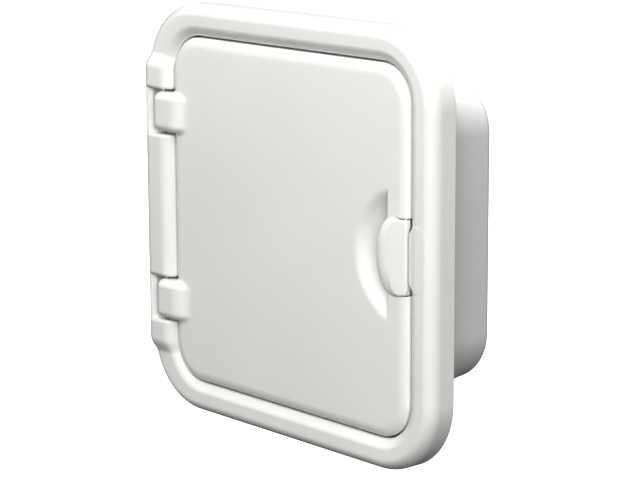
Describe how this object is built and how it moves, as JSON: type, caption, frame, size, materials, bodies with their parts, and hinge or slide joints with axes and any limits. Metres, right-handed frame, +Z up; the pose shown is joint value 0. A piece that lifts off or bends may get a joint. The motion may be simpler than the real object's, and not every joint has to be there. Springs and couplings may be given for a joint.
{
  "type": "deck hatch",
  "caption": "Recessed deck hatch: square rounded frame, side-hinged lid with finger scoop and sprung pull latch, and a storage tub behind it.",
  "frame": {"origin": "centre of the cut-out on the plane where the frame seats on the bulkhead", "axes": "+X to the right seen from outside (the hinge is on -X), +Y into the bulkhead, +Z up"},
  "size_m": [0.25, 0.0893, 0.25],
  "materials": {
    "white_gloss": "glossy moulded white ABS, UV-stabilised",
    "tub_white": "satin moulded off-white ABS",
    "liner_white": "fine-textured moulded white ABS",
    "seal_rubber": "matt black closed-cell EPDM",
    "stainless": "stainless steel, lightly brushed"
  },
  "bodies": {
    "frame_body": {"frame": "white_gloss", "storage_tub": "tub_white", "frame_seal": "seal_rubber", "hinge_pin_upper": "stainless", "hinge_pin_lower": "stainless", "tub_screw_1": "stainless", "tub_screw_2": "stainless", "tub_screw_3": "stainless", "tub_screw_4": "stainless", "tub_screw_5": "stainless", "tub_screw_6": "stainless", "tub_screw_7": "stainless", "tub_screw_8": "stainless"},
    "lid": {"lid_panel": "white_gloss", "lid_liner": "liner_white", "lid_seal": "seal_rubber", "latch_pin": "stainless", "latch_spring": "stainless", "liner_screw_1": "stainless", "liner_screw_2": "stainless", "liner_screw_3": "stainless", "liner_screw_4": "stainless", "liner_screw_5": "stainless", "liner_screw_6": "stainless"},
    "latch": {"latch_lever": "white_gloss"}
  },
  "joints": [
    {"name": "lid_hinge", "type": "hinge", "parent": "frame_body", "child": "lid", "pos_m": [-0.1135, -0.016, 0], "axis": [0, 0, -1], "range_deg": [0, 105]},
    {"name": "latch_pull", "type": "hinge", "parent": "lid", "child": "latch", "pos_m": [0.099, -0.015, 0], "axis": [0, 0, 1], "range_deg": [0, 28], "stiffness_Nm_per_rad": 0.12, "springref_deg": -28.65}
  ]
}
